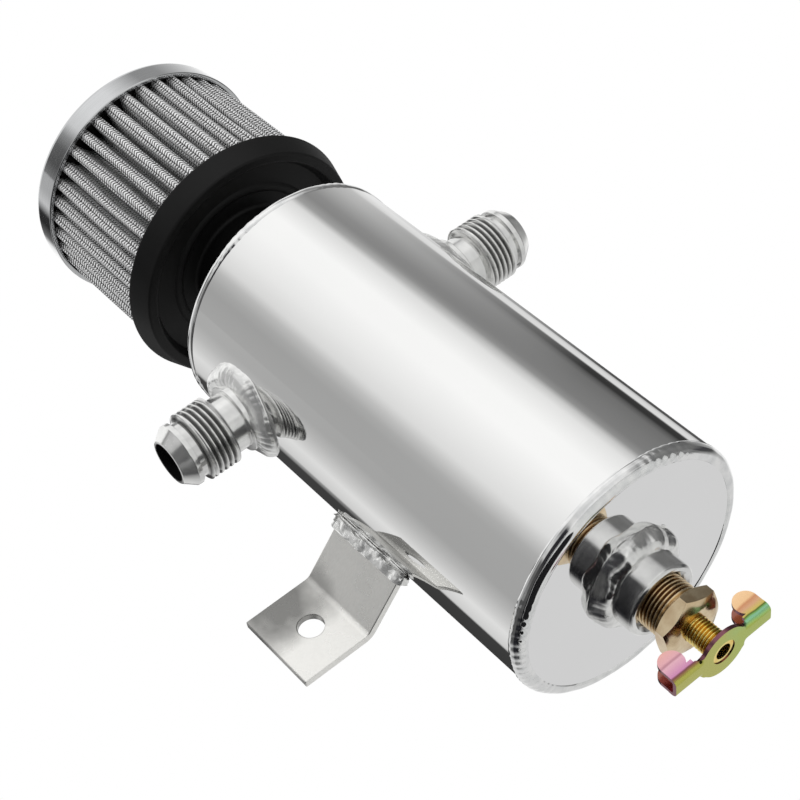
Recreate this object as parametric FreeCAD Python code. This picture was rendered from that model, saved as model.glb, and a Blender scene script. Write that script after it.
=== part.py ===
import FreeCAD, Part
import math
import os

from FreeCAD import Rotation, Vector

# Oil catch can, in millimetres. It is modelled on the axis of its tank, filter up, with the
# outer face of the bottom cap at height 0 and the two hose ports along X. Each solid is then
# moved so that the middle of the bracket's bolt hole is the origin.

running_clearance = 0.05
fit_clearance = 0.05

# Tank
tank_diameter = 80.0
tank_length = 150.0
tank_wall = 2.0
cap_thickness = 3.0
rim_weld_leg = 3.6
rim_weld_bevel = 1.4

# Hose ports, below the tank's upper end, with lengths measured out from its round wall
port_drop = 28.0
port_root_depth = 4.0
port_base_length = 3.4
port_neck_length = 5.2
port_thread_length = 10.8
port_relief_length = 2.0
port_shoulder_length = 1.6
port_nose_angle = 37.0
port_thread_radius = 11.1
port_base_radius = 11.0
port_neck_radius = 9.1
port_shoulder_radius = 10.2
port_bore_radius = 6.35
port_lip = 0.9
port_weld_leg = 4.8
port_weld_height = 2.7

# Drain bung, welded into the bottom cap
bung_radius = 11.6
bung_length = 12.3
bung_chamfer = 0.8
bung_countersink = 1.7
bung_weld_leg = 5.2

# Drain cock
cock_thread_radius = 8.1
cock_thread_length = 15.0
cock_thread_showing = 5.4
hex_across_flats = 18.6
hex_height = 6.4
hex_chamfer = 1.9
hex_turn = 22.5
inlet_radius = 2.0
inlet_length = 2.5

# Drain stem, its rubber seat washer and its wing
stem_radius = 4.0
stem_showing = 8.9
stem_nose_radius = 3.2
stem_nose_length = 5.2
stem_bore_radius = 2.5
stem_port_radius = 1.2
stem_spigot_radius = 3.8
stem_tip_radius = 1.2
seal_clearance = 0.4
seal_thickness = 1.6
wing_hub_radius = 8.0
wing_arm_half_width = 3.4
wing_span = 34.2
wing_sheet = 1.2
wing_waist_fillet = 4.5
wing_fold_radius = 1.8
ear_radius = 3.65
ear_middle = 13.4
ear_height = 9.0
ear_foot = 9.6
ear_foot_height = 3.4

# Mounting bracket: a strip with one bend, welded edge-on to the tank
bracket_width = 28.4
bracket_thickness = 2.5
bracket_middle = 66.0
bracket_inset = 11.7
bracket_bend_gap = 13.2
bracket_leg_angle = 46.0
bracket_bend_radius = 3.0
bracket_ear_length = 22.6
bracket_hole_to_bend = 9.8
bracket_hole_radius = 4.0
bracket_weld_leg = 2.0
bracket_weld_reach = 4.0

# Baffle inside the tank, below the ports
baffle_drop = 27.0
baffle_thickness = 1.5
baffle_hole_radius = 4.5
baffle_ring_pitch = 22.0
baffle_rings = 1

# Filter neck on the top cap
neck_radius = 16.0
neck_wall = 2.0
neck_length = 22.0
neck_weld_leg = 2.5

# Filter: moulded rubber base, pleated media, potting and pressed end cap
sleeve_wall = 3.0
sleeve_gap = 3.5
base_lip_height = 20.5
base_height = 8.0
base_rim_overhang = 3.1
base_rim_taper = 2.5
base_lip_width = 3.0
base_dish_depth = 3.8
base_ridge_radius = 26.0
base_ridge_height = 0.8
media_radius = 38.8
media_depth = 9.8
media_height = 50.0
media_sheet = 1.2
pleat_count = 39
pleat_crest_radius = 2.0
pleat_valley_radius = 0.6
cap_skirt = 9.6
cap_overhang = 1.5
cap_taper = 0.4
cap_sheet = 0.8
cap_corner_radius = 2.2
cap_hem = 0.6
media_cover = 1.5

# Worm-drive clamp round the rubber sleeve
band_width = 9.0
band_thickness = 0.7
band_middle = 11.0
worm_radius = 2.6
worm_length = 11.0
worm_head_flats = 7.0
worm_head_length = 4.5
worm_slot_width = 1.2
worm_slot_depth = 2.0
housing_wall = 0.8

# Values that follow from the sizes above
tank_radius = tank_diameter / 2
tank_bore = tank_radius - tank_wall
port_height = tank_length - port_drop
port_base_end = tank_radius + port_base_length
port_thread_start = port_base_end + port_neck_length
baffle_height = port_height - baffle_drop
bracket_setback = tank_radius - bracket_inset
bracket_bend_reach = tank_radius + bracket_bend_gap
bracket_reach = bracket_bend_reach + bracket_ear_length
bracket_hole_reach = bracket_bend_reach + bracket_hole_to_bend
hex_back = -bung_length - cock_thread_showing
hex_face = hex_back - hex_height
cock_top = hex_back + cock_thread_length
seat_height = cock_top - inlet_length
wing_back = hex_face - stem_showing
wing_face = wing_back - wing_sheet
sleeve_radius = neck_radius + sleeve_wall
base_lip = tank_length + base_lip_height
base_top = base_lip + base_height
base_rim_radius = media_radius + base_rim_overhang
base_lip_radius = base_rim_radius - base_rim_taper
cap_mouth_radius = media_radius + cap_overhang
cap_top_radius = cap_mouth_radius - cap_taper
media_top = base_top + media_height
cap_mouth = media_top - media_cover
cap_top = cap_mouth + cap_skirt
band_height = tank_length + band_middle
frame_origin = Vector(-bracket_hole_reach, bracket_setback + bracket_thickness / 2, bracket_middle)


def turned(start, *steps):
    """Solid turned about Z from a half section of (radius, height) points.

    A step is one point for a straight side, or a pair of points for an arc through the first.
    """
    edges = []
    here = Vector(start[0], 0, start[1])
    for step in steps + (start,):
        if isinstance(step[0], tuple):
            via, end = (Vector(radius, 0, height) for radius, height in step)
            edges.append(Part.Arc(here, via, end).toShape())
        else:
            end = Vector(step[0], 0, step[1])
            edges.append(Part.makeLine(here, end))
        here = end
    return Part.Face(Part.Wire(edges)).revolve(Vector(), Vector(0, 0, 1), 360)


def rod(radius, low, high):
    return Part.makeCylinder(radius, high - low, Vector(0, 0, low))


def tube(outer, inner, low, high):
    return rod(outer, low, high).cut(rod(inner, low, high))


def cross_rod(radius, start, end, height):
    """Cylinder along X from start to end, at the given height."""
    return Part.makeCylinder(radius, end - start, Vector(start, 0, height), Vector(1, 0, 0))


def fillet_weld(radius, leg, height):
    """Weld bead in the corner between an upright tube and the flat face it stands on."""
    bulge = leg * math.cos(math.radians(45))
    return turned(
        (radius, height), (radius + leg, height), (radius + bulge, height + bulge), (radius, height + leg)
    )


def mirror_up(shape, height=0.0):
    """The shape turned upside down about a level plane."""
    return shape.mirror(Vector(0, 0, height), Vector(0, 0, 1))


def rim_weld():
    """Bead that closes the corner between the tube's lower end and the bottom cap."""
    return turned(
        (tank_radius - rim_weld_leg, 0),
        (tank_radius - rim_weld_bevel, 0),
        (tank_radius, rim_weld_bevel),
        (tank_radius, rim_weld_leg),
        (tank_bore, rim_weld_leg / 2),
    )


def tank_tube():
    """Tube with both ends bevelled for the rim welds and a hole through it for the two ports."""
    wall = turned(
        (tank_bore, rim_weld_leg / 2),
        (tank_radius, rim_weld_leg),
        (tank_radius, tank_length - rim_weld_leg),
        (tank_bore, tank_length - rim_weld_leg / 2),
    )
    return wall.cut(cross_rod(port_base_radius + fit_clearance, -tank_diameter, tank_diameter, port_height))


def end_cap(hole_radius):
    """Lower cap, let into the tube, with its rim bevelled for the weld."""
    edge = tank_bore - fit_clearance
    bevel_start = tank_radius - rim_weld_leg
    bevel = rim_weld_leg / 2 * (edge - bevel_start) / (tank_bore - bevel_start)
    hole = hole_radius + fit_clearance
    return turned((hole, 0), (bevel_start, 0), (edge, bevel), (edge, cap_thickness), (hole, cap_thickness))


def port_fitting():
    """Flared hose fitting, turned about Z with its nose up."""
    thread_end = port_thread_start + port_thread_length
    shoulder = thread_end + port_relief_length
    cone = shoulder + port_shoulder_length
    tip_radius = port_bore_radius + port_lip
    tip = cone + (port_shoulder_radius - tip_radius) / math.tan(math.radians(port_nose_angle))
    entry = port_thread_radius - port_neck_radius
    root = tank_radius - port_root_depth
    return turned(
        (port_bore_radius, root),
        (port_base_radius, root),
        (port_base_radius, port_base_end),
        (port_neck_radius, port_base_end),
        (port_neck_radius, port_thread_start),
        (port_thread_radius, port_thread_start),
        (port_thread_radius, thread_end - entry / 2),
        (port_neck_radius, thread_end),
        (port_neck_radius, shoulder),
        (port_shoulder_radius, shoulder),
        (port_shoulder_radius, cone),
        (tip_radius, tip),
        (port_bore_radius, tip),
    )


def port_weld():
    """Bead along the saddle where the base of the port on +X meets the round tank."""
    tank = rod(tank_radius, 0, tank_length)
    base = cross_rod(port_base_radius, 0, tank_diameter, port_height)
    joined = tank.fuse(base)
    saddle = [
        edge for edge in joined.Edges
        if edge.BoundBox.XMin > 0 and edge.BoundBox.XMax < tank_radius + 0.01 and edge.BoundBox.YLength > 1
    ]
    return joined.makeChamfer(port_weld_leg, port_weld_height, saddle).cut([tank, base])


def at_port(shape, side):
    """Turns a fitting from nose up to nose out along X, on the side of the sign given."""
    placed = shape.copy()
    placed.rotate(Vector(), Vector(0, 1, 0), 90 * side)
    placed.translate(Vector(0, 0, port_height))
    return placed


def drain_bung():
    mouth = -bung_length
    bore = cock_thread_radius + fit_clearance
    return turned(
        (bore, cap_thickness),
        (bung_radius, cap_thickness),
        (bung_radius, mouth + bung_chamfer),
        (bung_radius - bung_chamfer, mouth),
        (bore + bung_countersink, mouth),
        (bore, mouth + bung_countersink),
    )


def hexagon(across_flats, low, high, turned_by):
    corner = across_flats / 2 / math.cos(math.radians(30))
    turns = [math.radians(turned_by + 60 * step) for step in range(7)]
    points = [Vector(corner * math.cos(turn), corner * math.sin(turn), low) for turn in turns]
    return Part.Face(Part.makePolygon(points)).extrude(Vector(0, 0, high - low))


def chamfered_hexagon(across_flats, low, high, chamfer, turned_by=0):
    """Hexagon whose corners are turned down at both ends, at 30 degrees to its faces."""
    corner = across_flats / 2 / math.cos(math.radians(30))
    face = corner - chamfer / math.tan(math.radians(30))
    turned_down = turned(
        (0, low),
        (face, low),
        (corner, low + chamfer),
        (corner, high - chamfer),
        (face, high),
        (0, high),
    )
    return hexagon(across_flats, low, high, turned_by).common(turned_down)


def drain_cock_body():
    """Brass body: hexagon, shank screwed into the bung, and a bore that ends on a flat seat."""
    shank = rod(cock_thread_radius, hex_back, cock_top)
    body = shank.fuse(chamfered_hexagon(hex_across_flats, hex_face, hex_back, hex_chamfer, hex_turn))
    bore = rod(stem_radius + running_clearance, hex_face, seat_height)
    inlet = rod(inlet_radius, seat_height, cock_top)
    return body.cut([bore, inlet]).removeSplitter()


def stem_seal():
    """Rubber washer on the stem's tip, pressed on the seat when the drain is closed."""
    outer = stem_radius - seal_clearance
    return tube(outer, stem_tip_radius + running_clearance, seat_height - seal_thickness, seat_height)


def drain_stem():
    """Hollow threaded stem: oil enters the cross hole in its nose and leaves at the wing."""
    nose = seat_height - seal_thickness
    thread = nose - stem_nose_length
    cross_hole = nose - stem_nose_length / 2
    spigot_end = wing_face + wing_sheet / 4
    body = turned(
        (0, spigot_end),
        (stem_spigot_radius, spigot_end),
        (stem_spigot_radius, wing_back),
        (stem_radius, wing_back),
        (stem_radius, thread),
        (stem_nose_radius, thread),
        (stem_nose_radius, nose),
        (stem_tip_radius, nose),
        (stem_tip_radius, nose + seal_thickness / 2),
        (0, nose + seal_thickness / 2),
    )
    hollow = rod(stem_bore_radius, spigot_end, cross_hole + stem_port_radius)
    ports = cross_rod(stem_port_radius, -stem_radius, stem_radius, cross_hole)
    return body.cut([hollow, ports])


def wing_plate(ear_start):
    """Flat middle of the wing: a round hub that runs into the two arms with hollow fillets."""
    reach = wing_hub_radius + wing_waist_fillet
    rise = wing_arm_half_width + wing_waist_fillet
    fillet_x = math.sqrt(reach ** 2 - rise ** 2)
    hub_turn = math.atan2(rise, fillet_x)
    fillet_turn = (hub_turn + math.pi + 1.5 * math.pi) / 2
    crown_turn = (hub_turn + math.pi / 2) / 2
    fillet_centre = Vector(fillet_x, rise, wing_face)

    def around(centre, radius, turn):
        return centre + Vector(radius * math.cos(turn), radius * math.sin(turn), 0)

    middle = Vector(0, 0, wing_face)
    top = around(middle, wing_hub_radius, math.pi / 2)
    hub_end = around(middle, wing_hub_radius, hub_turn)
    arm_start = around(fillet_centre, wing_waist_fillet, 1.5 * math.pi)
    arm_end = Vector(max(ear_start, fillet_x + wing_sheet), wing_arm_half_width, wing_face)
    axis_end = Vector(arm_end.x, 0, wing_face)
    outline = Part.Wire([
        Part.makeLine(middle, top),
        Part.Arc(top, around(middle, wing_hub_radius, crown_turn), hub_end).toShape(),
        Part.Arc(hub_end, around(fillet_centre, wing_waist_fillet, fillet_turn), arm_start).toShape(),
        Part.makeLine(arm_start, arm_end),
        Part.makeLine(arm_end, axis_end),
        Part.makeLine(axis_end, middle),
    ])
    quarter = Part.Face(outline).extrude(Vector(0, 0, wing_sheet))
    half = quarter.fuse(quarter.mirror(Vector(), Vector(0, 1, 0)))
    return half.fuse(half.mirror(Vector(), Vector(1, 0, 0))).removeSplitter()


def wing_arm(ear_start):
    """Outer end of the arm along +X: a channel whose two sides are cut to round ears."""
    end = wing_span / 2
    depth = wing_arm_half_width * 2
    outer = Part.makeBox(
        ear_radius * 2 + end, depth, ear_height * 2, Vector(0, -wing_arm_half_width, wing_face)
    )
    fold_edges = [
        edge for edge in outer.Edges
        if abs(edge.CenterOfMass.z - wing_face) < 1e-6 and abs(edge.tangentAt(edge.FirstParameter).x) > 0.9
    ]
    outer = outer.makeFillet(wing_fold_radius, fold_edges)
    inside = Part.makeBox(
        outer.BoundBox.XLength,
        depth - 2 * wing_sheet,
        outer.BoundBox.ZLength,
        Vector(0, wing_sheet - wing_arm_half_width, wing_back),
    )
    ear_centre = wing_face + ear_height - ear_radius
    ears = Part.makeCylinder(
        ear_radius, depth, Vector(ear_middle, -wing_arm_half_width, ear_centre), Vector(0, 1, 0)
    )
    above_plate = Part.makeBox(wing_span, depth, ear_height * 2, Vector(0, -wing_arm_half_width, wing_back))
    foot = Part.makeBox(
        end - ear_start, depth, ear_foot_height, Vector(ear_start, -wing_arm_half_width, wing_face)
    )
    return outer.cut(inside).common(ears.common(above_plate).fuse(foot))


def drain_wing():
    ear_start = ear_middle - ear_foot / 2
    arm = wing_arm(ear_start)
    arms = [arm, arm.mirror(Vector(), Vector(1, 0, 0))]
    hub_hole = rod(stem_spigot_radius + fit_clearance, wing_face, wing_back)
    return wing_plate(ear_start).fuse(arms).cut(hub_hole).removeSplitter()


def bracket_directions():
    """Direction of the welded leg, away from the tank, and the way its back faces."""
    turn = math.radians(bracket_leg_angle)
    return Vector(-math.cos(turn), math.sin(turn), 0), Vector(math.sin(turn), math.cos(turn), 0)


def mount_bracket():
    """Bent strip, from its front face back; the welded end is coped to the tank."""
    outward, back = bracket_directions()
    low = bracket_middle - bracket_width / 2
    bend = Vector(-bracket_bend_reach, bracket_setback, low)
    leg = math.hypot(bend.x, bend.y) - tank_radius + 2 * bracket_thickness
    root = bend - outward * leg
    tip = Vector(-bracket_reach, bracket_setback, low)
    miter = bracket_thickness * math.tan(math.radians(bracket_leg_angle / 2))
    points = [
        root,
        bend,
        tip,
        tip + Vector(0, bracket_thickness, 0),
        bend + Vector(miter, bracket_thickness, 0),
        root + back * bracket_thickness,
        root,
    ]
    strip = Part.Face(Part.makePolygon(points)).extrude(Vector(0, 0, bracket_width))
    for corner, radius in ((points[4], bracket_bend_radius + bracket_thickness), (bend, bracket_bend_radius)):
        edges = [
            edge for edge in strip.Edges
            if all(math.hypot(v.X - corner.x, v.Y - corner.y) < 1e-6 for v in edge.Vertexes)
        ]
        strip = strip.makeFillet(radius, edges)
    hole = Part.makeCylinder(
        bracket_hole_radius,
        3 * bracket_thickness,
        Vector(-bracket_hole_reach, bracket_setback - bracket_thickness, bracket_middle),
        Vector(0, 1, 0),
    )
    return strip.cut([hole, rod(tank_radius, 0, tank_length)])


def bracket_weld(bracket):
    """Bead all round the foot of the bracket's welded leg."""
    outward, back = bracket_directions()
    middle = Vector(-bracket_bend_reach, bracket_setback, bracket_middle) + back * (bracket_thickness / 2)
    along = middle.dot(outward)
    foot = along - math.sqrt(along ** 2 - middle.dot(middle) + bracket_middle ** 2 + tank_radius ** 2)
    seat = middle - outward * foot
    half_depth = bracket_thickness / 2 + bracket_weld_leg
    length = bracket_width + 2 * bracket_weld_leg
    depth = 2 * bracket_weld_leg
    block = Part.makeBox(
        depth + bracket_weld_reach, 2 * half_depth, length, Vector(-depth, -half_depth, -length / 2)
    )
    block = block.makeChamfer(0.9 * bracket_weld_leg, [
        edge for edge in block.Edges if edge.BoundBox.XMin > bracket_weld_reach / 2
    ])
    block.Placement = FreeCAD.Placement(seat, Rotation(outward, back, Vector(0, 0, 1), "XZY"))
    return block.cut([bracket, rod(tank_radius, 0, tank_length)])


def baffle_plate():
    disc = rod(tank_bore - fit_clearance, baffle_height, baffle_height + baffle_thickness)
    holes = []
    for ring in range(baffle_rings + 1):
        count = max(1, 6 * ring)
        for step in range(count):
            turn = math.radians(360 * step / count)
            hole = rod(baffle_hole_radius, baffle_height, baffle_height + baffle_thickness)
            radius = ring * baffle_ring_pitch
            hole.translate(Vector(radius * math.cos(turn), radius * math.sin(turn), 0))
            holes.append(hole)
    return disc.cut(holes)


def filter_neck():
    low = tank_length - cap_thickness
    return tube(neck_radius, neck_radius - neck_wall, low, tank_length + neck_length)


def filter_base():
    """Rubber moulding: sleeve over the neck, and a flange dished underneath with a low ridge."""
    ceiling = base_lip + base_dish_depth
    lip_inner = base_lip_radius - base_lip_width
    sleeve_low = tank_length + sleeve_gap
    bore = neck_radius + fit_clearance
    ridge = base_ridge_height
    return turned(
        (bore, sleeve_low),
        (sleeve_radius, sleeve_low),
        (sleeve_radius, ceiling),
        (base_ridge_radius - 2 * ridge, ceiling),
        (base_ridge_radius, ceiling - ridge),
        (base_ridge_radius + 2 * ridge, ceiling),
        (lip_inner - base_dish_depth / 2, ceiling),
        (lip_inner, base_lip),
        (base_lip_radius, base_lip),
        (base_rim_radius, base_top),
        (bore, base_top),
    )


def pleat_outline(crest_radius, valley_radius):
    """Closed outline of the pleats: round crests and valleys joined by their common tangents."""
    half = math.pi / pleat_count
    crest_centre = media_radius - pleat_crest_radius
    valley_centre = media_radius - media_depth + pleat_valley_radius + media_sheet
    across = valley_centre * math.sin(half)
    inward = crest_centre - valley_centre * math.cos(half)
    lean = math.acos((crest_radius + valley_radius) / math.hypot(across, inward))
    crest_turn = math.atan2(across, -inward) - lean
    valley_turn = crest_turn + math.pi - half

    def at(centre_radius, centre_turn, radius, turn):
        x = centre_radius * math.cos(centre_turn) + radius * math.cos(centre_turn + turn)
        y = centre_radius * math.sin(centre_turn) + radius * math.sin(centre_turn + turn)
        return Vector(x, y, base_top)

    edges = []
    for pleat in range(pleat_count):
        crest = 2 * half * pleat
        valley = crest + half
        crest_start, crest_top, crest_end = (
            at(crest_centre, crest, crest_radius, turn) for turn in (-crest_turn, 0, crest_turn)
        )
        valley_start, valley_foot, valley_end = (
            at(valley_centre, valley, valley_radius, turn) for turn in (valley_turn, math.pi, -valley_turn)
        )
        next_crest = at(crest_centre, crest + 2 * half, crest_radius, -crest_turn)
        edges.append(Part.Arc(crest_start, crest_top, crest_end).toShape())
        edges.append(Part.makeLine(crest_end, valley_start))
        edges.append(Part.Arc(valley_start, valley_foot, valley_end).toShape())
        edges.append(Part.makeLine(valley_end, next_crest))
    return Part.Wire(edges)


def filter_media():
    """Gauze sheet folded into pleats and closed into a ring."""
    outside = pleat_outline(pleat_crest_radius, pleat_valley_radius)
    inside = pleat_outline(pleat_crest_radius - media_sheet, pleat_valley_radius + media_sheet)
    ring = Part.makeFace([outside, inside], "Part::FaceMakerBullseye")
    return ring.extrude(Vector(0, 0, media_height))


def skirt_radius(height):
    """Outer radius of the end cap's tapered skirt at a height above its mouth."""
    return cap_mouth_radius + (cap_top_radius - cap_mouth_radius) * height / cap_skirt


def filter_end_cap():
    """Pressed cap: tapered skirt, rounded shoulder and a small inward hem at the mouth."""
    shoulder = cap_skirt - cap_corner_radius
    bulge = cap_corner_radius * (1 - math.cos(math.radians(45)))
    return turned(
        (cap_mouth_radius - cap_hem - cap_sheet, cap_mouth),
        (cap_mouth_radius, cap_mouth),
        (skirt_radius(shoulder), cap_mouth + shoulder),
        ((cap_top_radius - bulge, cap_top - bulge), (cap_top_radius - cap_corner_radius, cap_top)),
        (0, cap_top),
        (0, cap_top - cap_sheet),
        (cap_top_radius - cap_corner_radius, cap_top - cap_sheet),
        (skirt_radius(shoulder) - cap_sheet, cap_mouth + shoulder),
        (skirt_radius(cap_sheet) - cap_sheet, cap_mouth + cap_sheet),
        (cap_mouth_radius - cap_hem - cap_sheet, cap_mouth + cap_sheet),
    )


def cap_potting():
    """Resin disc that closes the pleats' upper ends and bonds them to the end cap."""
    low = skirt_radius(media_cover) - cap_sheet - fit_clearance
    high = cap_top_radius - cap_sheet - fit_clearance
    shoulder = cap_top - cap_corner_radius
    return turned(
        (0, media_top),
        (low, media_top),
        (high, shoulder),
        (cap_top_radius - cap_corner_radius, cap_top - cap_sheet),
        (0, cap_top - cap_sheet),
    )


def clamp_band():
    inner = sleeve_radius + fit_clearance
    low = band_height - band_width / 2
    return tube(inner + band_thickness, inner, low, low + band_width)


def worm_axis():
    """Distance of the worm's axis from the neck's axis, clear of the band."""
    return sleeve_radius + 2 * fit_clearance + band_thickness + worm_radius


def along_worm(shape):
    """Lays a shape built on Z along X, on the back of the band."""
    placed = shape.copy()
    placed.rotate(Vector(), Vector(0, 1, 0), 90)
    placed.translate(Vector(0, worm_axis(), band_height))
    return placed


def clamp_screw():
    head = worm_length / 2 + housing_wall
    head_end = head + worm_head_length
    screw = rod(worm_radius, -worm_length / 2, head)
    screw = screw.fuse(chamfered_hexagon(worm_head_flats, head, head_end, housing_wall / 2))
    slot = Part.makeBox(
        worm_slot_width, worm_head_flats * 2, worm_slot_depth,
        Vector(-worm_slot_width / 2, -worm_head_flats, head_end - worm_slot_depth),
    )
    return along_worm(screw.cut(slot).removeSplitter())


def clamp_housing():
    """Pressed saddle over the worm, standing on the band."""
    outer = worm_radius + running_clearance + housing_wall
    tunnel = along_worm(rod(outer, -worm_length / 2, worm_length / 2))
    walls = Part.makeBox(
        worm_length, worm_axis(), 2 * outer, Vector(-worm_length / 2, 0, band_height - outer)
    )
    bore = along_worm(rod(worm_radius + running_clearance, -worm_length, worm_length))
    band = rod(sleeve_radius + 2 * fit_clearance + band_thickness, 0, 2 * band_height)
    return tunnel.fuse(walls).cut([bore, band]).removeSplitter()


def build():
    lower_rim = rim_weld()
    upper_rim = mirror_up(lower_rim, tank_length / 2)
    bracket = mount_bracket()
    weld = port_weld()
    across = weld.mirror(Vector(), Vector(1, 0, 0))
    return {
        "tank_tube": tank_tube(),
        "bottom_cap": end_cap(bung_radius),
        "top_cap": mirror_up(end_cap(neck_radius), tank_length / 2),
        "bottom_rim_weld": lower_rim,
        "top_rim_weld": upper_rim,
        "port_fitting_left": at_port(port_fitting(), -1),
        "port_fitting_right": at_port(port_fitting(), 1),
        "port_weld_left": across,
        "port_weld_right": weld,
        "mount_bracket": bracket,
        "bracket_weld": bracket_weld(bracket),
        "baffle_plate": baffle_plate(),
        "drain_bung": drain_bung(),
        "drain_bung_weld": mirror_up(fillet_weld(bung_radius, bung_weld_leg, 0)),
        "drain_cock_body": drain_cock_body(),
        "stem_seal": stem_seal(),
        "drain_stem": drain_stem(),
        "drain_wing": drain_wing(),
        "filter_neck": filter_neck(),
        "neck_weld": fillet_weld(neck_radius, neck_weld_leg, tank_length),
        "filter_base": filter_base(),
        "filter_media": filter_media(),
        "cap_potting": cap_potting(),
        "filter_end_cap": filter_end_cap(),
        "clamp_band": clamp_band(),
        "clamp_housing": clamp_housing(),
        "clamp_screw": clamp_screw(),
    }


os.makedirs("parts", exist_ok=True)
for name, shape in build().items():
    placed = shape.copy()
    placed.translate(-frame_origin)
    placed.exportStep(f"parts/{name}.step")
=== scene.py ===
import math

import bmesh
import bpy
from mathutils import Matrix, Vector, noise


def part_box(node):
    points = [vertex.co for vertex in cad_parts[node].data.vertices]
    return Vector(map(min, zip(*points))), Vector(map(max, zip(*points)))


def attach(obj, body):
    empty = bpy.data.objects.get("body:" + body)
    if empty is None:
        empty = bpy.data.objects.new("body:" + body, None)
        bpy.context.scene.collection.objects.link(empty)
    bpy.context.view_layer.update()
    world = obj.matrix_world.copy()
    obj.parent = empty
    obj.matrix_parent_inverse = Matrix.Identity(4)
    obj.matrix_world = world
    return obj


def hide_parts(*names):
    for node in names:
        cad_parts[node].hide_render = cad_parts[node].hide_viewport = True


# Oil catch can: polished tank with two hose ports, pleated filter, brass drain and bent bracket.
# Pieces are made in millimetres on the tank's axis, bottom cap at height 0, then placed in the frame.

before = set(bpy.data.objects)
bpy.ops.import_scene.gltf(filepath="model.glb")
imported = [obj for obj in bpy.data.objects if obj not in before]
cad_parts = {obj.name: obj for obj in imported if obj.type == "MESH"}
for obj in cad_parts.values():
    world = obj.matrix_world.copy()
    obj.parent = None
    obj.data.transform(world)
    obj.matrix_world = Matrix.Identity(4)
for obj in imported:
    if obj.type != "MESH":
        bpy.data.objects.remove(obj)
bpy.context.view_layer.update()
lowTank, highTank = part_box("tank_tube")
axisX, axisY = (lowTank[0] + highTank[0]) / 2, (lowTank[1] + highTank[1]) / 2
place = Matrix.Translation((axisX, axisY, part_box("bottom_cap")[0][2])) @ Matrix.Scale(0.001, 4)


def linear(hexColour):  # sRGB hex to the linear colour that the shaders take
    parts = (int(hexColour[start:start + 2], 16) / 255 for start in (1, 3, 5))
    return (*(part / 12.92 if part <= 0.04045 else ((part + 0.055) / 1.055) ** 2.4 for part in parts), 1)


def addNode(tree, kind, settings=None, inputs=None):
    made = tree.nodes.new("ShaderNode" + kind)
    for name, value in (settings or {}).items():
        setattr(made, name, value)
    for name, value in (inputs or {}).items():
        socket = made.inputs[name]
        if isinstance(value, bpy.types.NodeSocket):
            tree.links.new(value, socket)
        else:
            socket.default_value = value
    return made


def startMaterial(name, **values):
    material = bpy.data.materials.new(name)
    material.use_nodes = True
    tree = material.node_tree
    shader = tree.nodes["Principled BSDF"]
    for socket, value in values.items():
        shader.inputs[socket.replace("_", " ")].default_value = value
    return material, tree, shader, addNode(tree, "TexCoord").outputs["Object"]


def linkSurface(tree, shader, colour, rough, bump):
    for socket, source in (("Base Color", colour), ("Roughness", rough), ("Normal", bump)):
        tree.links.new(source, shader.inputs[socket])


def setRamp(ramp, stops):  # stops: position to hex colour
    elements = ramp.color_ramp.elements
    while len(elements) < len(stops):
        elements.new(0.5)
    for element, (position, colour) in zip(elements, sorted(stops.items())):
        element.position = position
        element.color = linear(colour)


# Mesh helpers

def lathe(profile, steps=128, rounds=(), cuts=()):
    # profile: (radius, height) corners of a closed half section
    # rounds: (corner, size, segments); cuts: (side, count)
    bm = bmesh.new()
    corners = [bm.verts.new((radius, 0, height)) for radius, height in profile]
    sides = [
        bm.edges.new(pair) if pair[0].co.x + pair[1].co.x > 0 else None
        for pair in zip(corners, corners[1:] + corners[:1])
    ]
    for side, count in cuts:
        bmesh.ops.subdivide_edges(bm, edges=[sides[side]], cuts=count)
    bmesh.ops.spin(
        bm, geom=bm.verts[:] + bm.edges[:], cent=(0, 0, 0), axis=(0, 0, 1),
        angle=2 * math.pi, steps=steps, use_merge=True,
    )
    bmesh.ops.remove_doubles(bm, verts=bm.verts, dist=0.001)
    bmesh.ops.recalc_face_normals(bm, faces=bm.faces)
    for corner, size, segments in rounds:
        radius, height = profile[corner]
        ring = [edge for edge in bm.edges if all(
            abs(math.hypot(*vert.co.xy) - radius) < 0.002 and abs(vert.co.z - height) < 0.002
            for vert in edge.verts
        )]
        bmesh.ops.bevel(
            bm, geom=ring, offset=size, offset_type="OFFSET", affect="EDGES",
            segments=segments, profile=0.5, material=-1, clamp_overlap=True,
        )
    return bm


def cutThread(bm, crest, root, low, high, pitch):
    # presses a thread into a plain turned length by where each point lies on the helix
    for vert in bm.verts:
        radius = math.hypot(*vert.co.xy)
        if abs(radius - crest) > 0.01 or not low < vert.co.z < high:
            continue
        phase = (vert.co.z / pitch - math.atan2(vert.co.y, vert.co.x) / (2 * math.pi)) % 1
        flank = min(max((abs(2 * phase - 1) - 0.1) / 0.75, 0), 1)
        fade = min(1, (vert.co.z - low) / (0.7 * pitch), (high - vert.co.z) / (0.7 * pitch))
        depth = (crest - root) * (0.5 + 0.5 * math.cos(math.pi * flank)) * fade
        vert.co.xy *= (radius - depth) / radius


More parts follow.
